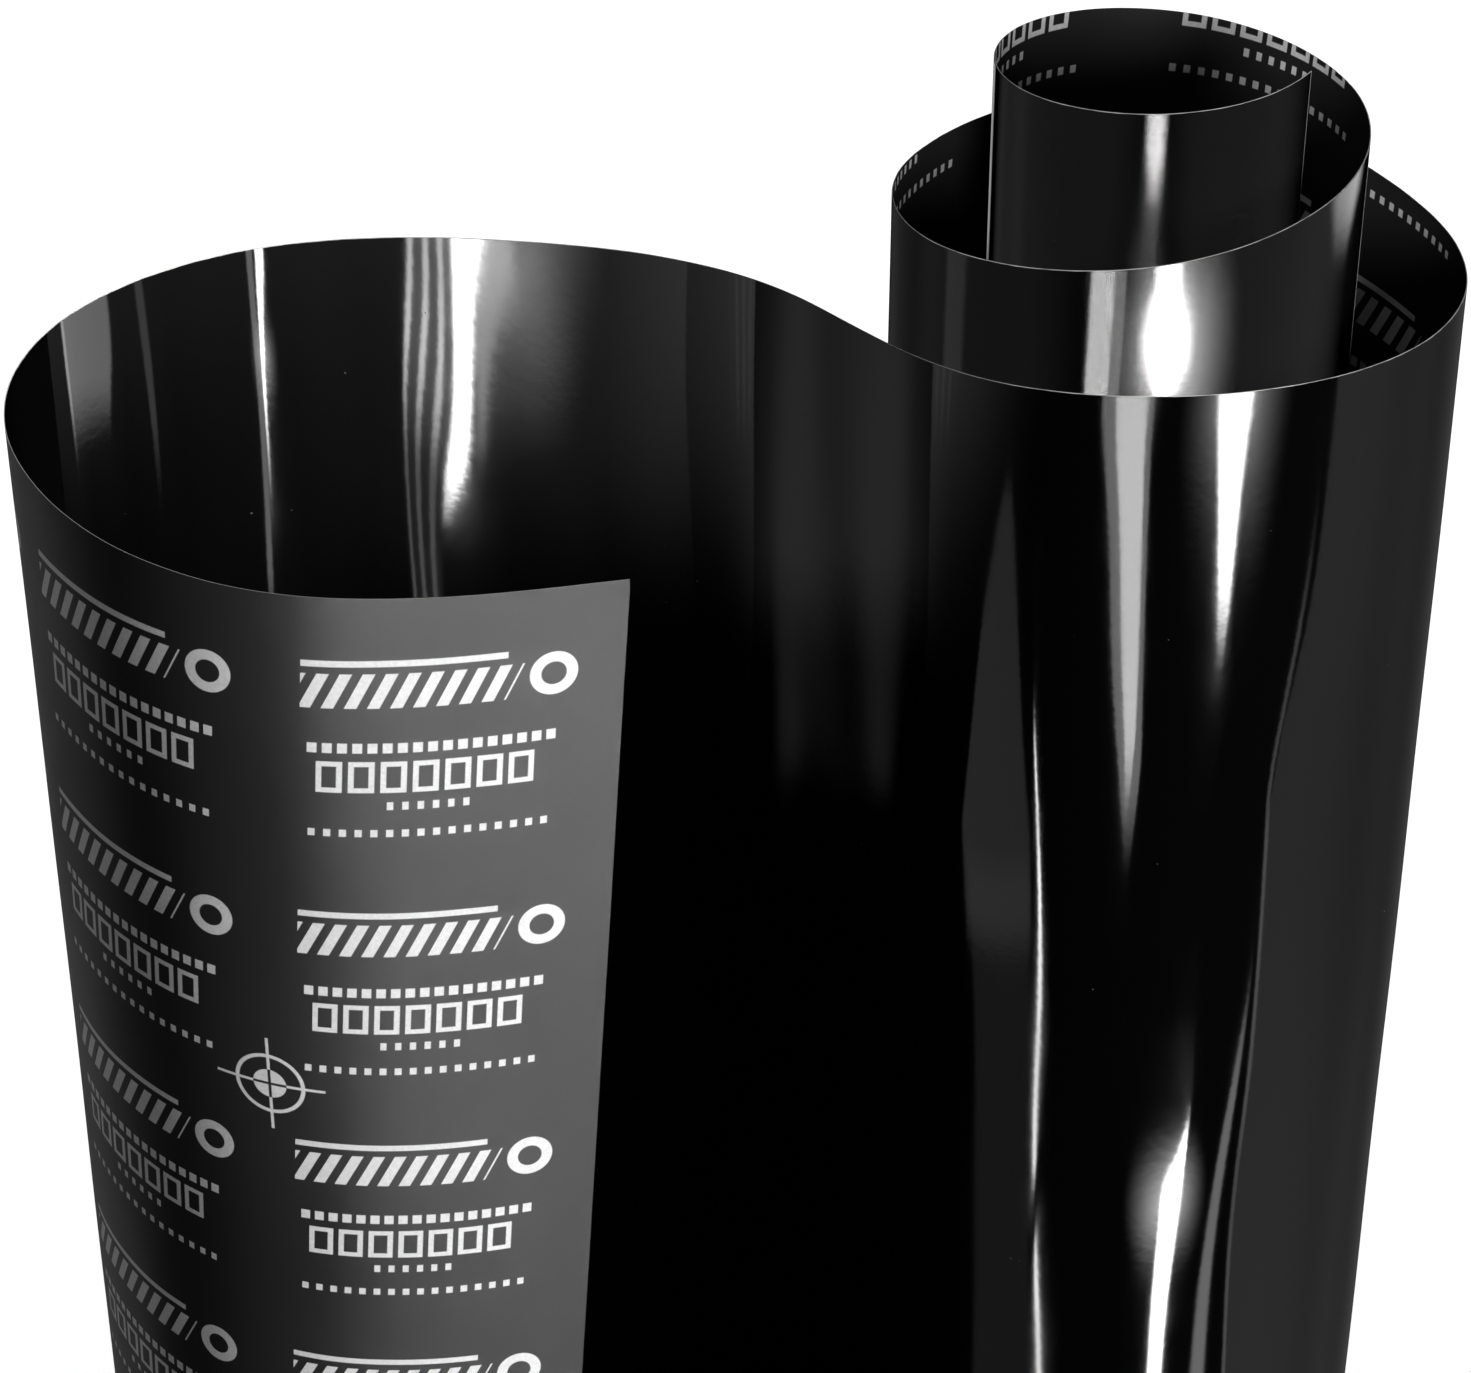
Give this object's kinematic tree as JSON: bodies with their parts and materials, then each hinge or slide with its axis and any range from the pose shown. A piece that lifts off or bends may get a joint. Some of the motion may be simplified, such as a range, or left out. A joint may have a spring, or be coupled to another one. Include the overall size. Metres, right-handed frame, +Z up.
{
  "type": "roll of sign vinyl",
  "caption": "Sheet of gloss black sign vinyl on its printed release liner, partly unrolled and standing on its long edge as a loose S.",
  "frame": {"origin": "middle of the footprint, on the surface that the sheet stands on", "axes": "+Z up along the sheet's width; +X to the right, from the loose curl to the tight roll; +Y away from the viewer"},
  "size_m": [0.4099, 0.1934, 0.6583],
  "materials": {
    "film": "high gloss black calendered vinyl",
    "adhesive": "tacky clear layer, looks grey on the film",
    "liner": "coated paper, printed satin dark grey back, white core at the cut edges"
  },
  "bodies": {
    "curl_5": {"film_curl_5": "film", "adhesive_curl_5": "adhesive", "liner_curl_5": "liner"},
    "curl_4": {"film_curl_4": "film", "adhesive_curl_4": "adhesive", "liner_curl_4": "liner"},
    "curl_3": {"film_curl_3": "film", "adhesive_curl_3": "adhesive", "liner_curl_3": "liner"},
    "curl_2": {"film_curl_2": "film", "adhesive_curl_2": "adhesive", "liner_curl_2": "liner"},
    "curl_1": {"film_curl_1": "film", "adhesive_curl_1": "adhesive", "liner_curl_1": "liner"},
    "bridge": {"film_bridge": "film", "adhesive_bridge": "adhesive", "liner_bridge": "liner"},
    "roll_01": {"film_roll_01": "film", "adhesive_roll_01": "adhesive", "liner_roll_01": "liner"},
    "roll_02": {"film_roll_02": "film", "adhesive_roll_02": "adhesive", "liner_roll_02": "liner"},
    "roll_03": {"film_roll_03": "film", "adhesive_roll_03": "adhesive", "liner_roll_03": "liner"},
    "roll_04": {"film_roll_04": "film", "adhesive_roll_04": "adhesive", "liner_roll_04": "liner"},
    "roll_05": {"film_roll_05": "film", "adhesive_roll_05": "adhesive", "liner_roll_05": "liner"},
    "roll_06": {"film_roll_06": "film", "adhesive_roll_06": "adhesive", "liner_roll_06": "liner"},
    "roll_07": {"film_roll_07": "film", "adhesive_roll_07": "adhesive", "liner_roll_07": "liner"},
    "roll_08": {"film_roll_08": "film", "adhesive_roll_08": "adhesive", "liner_roll_08": "liner"},
    "roll_09": {"film_roll_09": "film", "adhesive_roll_09": "adhesive", "liner_roll_09": "liner"},
    "roll_10": {"film_roll_10": "film", "adhesive_roll_10": "adhesive", "liner_roll_10": "liner"},
    "roll_11": {"film_roll_11": "film", "adhesive_roll_11": "adhesive", "liner_roll_11": "liner"},
    "liner_tail": {"liner_peel_tail": "liner"}
  },
  "joints": [
    {"name": "open_curl_1", "type": "hinge", "parent": "bridge", "child": "curl_1", "pos_m": [-0.01896, 0.0487, 0], "axis": [0, 0, -1], "range_deg": [-10, 42], "stiffness_Nm_per_rad": 0.03},
    {"name": "open_curl_2", "type": "hinge", "parent": "curl_1", "child": "curl_2", "pos_m": [-0.09935, 0.07394, 0], "axis": [0, 0, -1], "range_deg": [-10, 42], "stiffness_Nm_per_rad": 0.03},
    {"name": "open_curl_3", "type": "hinge", "parent": "curl_2", "child": "curl_3", "pos_m": [-0.17907, 0.05378, 0], "axis": [0, 0, -1], "range_deg": [-10, 42], "stiffness_Nm_per_rad": 0.03},
    {"name": "open_curl_4", "type": "hinge", "parent": "curl_3", "child": "curl_4", "pos_m": [-0.20207, -0.0229, 0], "axis": [0, 0, -1], "range_deg": [-10, 42], "stiffness_Nm_per_rad": 0.03},
    {"name": "open_curl_5", "type": "hinge", "parent": "curl_4", "child": "curl_5", "pos_m": [-0.15015, -0.08674, 0], "axis": [0, 0, -1], "range_deg": [-10, 42], "stiffness_Nm_per_rad": 0.03},
    {"name": "loosen_roll_01", "type": "hinge", "parent": "bridge", "child": "roll_01", "pos_m": [0.03954, -0.01114, 0], "axis": [0, 0, -1], "range_deg": [0, 16], "stiffness_Nm_per_rad": 0.03},
    {"name": "loosen_roll_02", "type": "hinge", "parent": "roll_01", "child": "roll_02", "pos_m": [0.10835, -0.0563, 0], "axis": [0, 0, -1], "range_deg": [0, 16], "stiffness_Nm_per_rad": 0.03},
    {"name": "loosen_roll_03", "type": "hinge", "parent": "roll_02", "child": "roll_03", "pos_m": [0.18761, -0.03642, 0], "axis": [0, 0, -1], "range_deg": [0, 16], "stiffness_Nm_per_rad": 0.03},
    {"name": "loosen_roll_04", "type": "hinge", "parent": "roll_03", "child": "roll_04", "pos_m": [0.19429, 0.04159, 0], "axis": [0, 0, -1], "range_deg": [0, 16], "stiffness_Nm_per_rad": 0.03},
    {"name": "push_down_roll_05", "type": "slide", "parent": "roll_04", "child": "roll_05", "axis": [0, 0, -1], "range_m": [-0.0022, 0.0026]},
    {"name": "loosen_roll_06", "type": "hinge", "parent": "roll_05", "child": "roll_06", "pos_m": [0.06205, 0.05847, 0], "axis": [0, 0, -1], "range_deg": [0, 16], "stiffness_Nm_per_rad": 0.03},
    {"name": "push_down_roll_07", "type": "slide", "parent": "roll_06", "child": "roll_07", "axis": [0, 0, -1], "range_m": [-0.01, 0.0118]},
    {"name": "loosen_roll_08", "type": "hinge", "parent": "roll_07", "child": "roll_08", "pos_m": [0.12693, -0.04384, 0], "axis": [0, 0, -1], "range_deg": [0, 16], "stiffness_Nm_per_rad": 0.03},
    {"name": "push_down_roll_09", "type": "slide", "parent": "roll_08", "child": "roll_09", "axis": [0, 0, -1], "range_m": [-0.01, 0.0118]},
    {"name": "loosen_roll_10", "type": "hinge", "parent": "roll_09", "child": "roll_10", "pos_m": [0.13866, 0.08689, 0], "axis": [0, 0, -1], "range_deg": [0, 16], "stiffness_Nm_per_rad": 0.03},
    {"name": "push_down_roll_11", "type": "slide", "parent": "roll_10", "child": "roll_11", "axis": [0, 0, -1], "range_m": [-0.01, 0.0118]},
    {"name": "peel_liner", "type": "hinge", "parent": "curl_5", "child": "liner_tail", "pos_m": [-0.10936, -0.09657, 0], "axis": [0, 0, -1], "range_deg": [0, 75], "stiffness_Nm_per_rad": 0.008}
  ],
  "couplings": [
    {"joint": "open_curl_2", "follows": "open_curl_1", "ratio": 1},
    {"joint": "open_curl_3", "follows": "open_curl_1", "ratio": 1},
    {"joint": "open_curl_4", "follows": "open_curl_1", "ratio": 1},
    {"joint": "open_curl_5", "follows": "open_curl_1", "ratio": 1},
    {"joint": "loosen_roll_02", "follows": "loosen_roll_01", "ratio": 1},
    {"joint": "loosen_roll_03", "follows": "loosen_roll_01", "ratio": 1},
    {"joint": "loosen_roll_04", "follows": "loosen_roll_01", "ratio": 1},
    {"joint": "push_down_roll_05", "follows": "push_down_roll_07", "ratio": 0.22},
    {"joint": "loosen_roll_06", "follows": "loosen_roll_01", "ratio": 1},
    {"joint": "loosen_roll_08", "follows": "loosen_roll_01", "ratio": 1},
    {"joint": "push_down_roll_09", "follows": "push_down_roll_07", "ratio": 1},
    {"joint": "loosen_roll_10", "follows": "loosen_roll_01", "ratio": 1},
    {"joint": "push_down_roll_11", "follows": "push_down_roll_07", "ratio": 1}
  ]
}
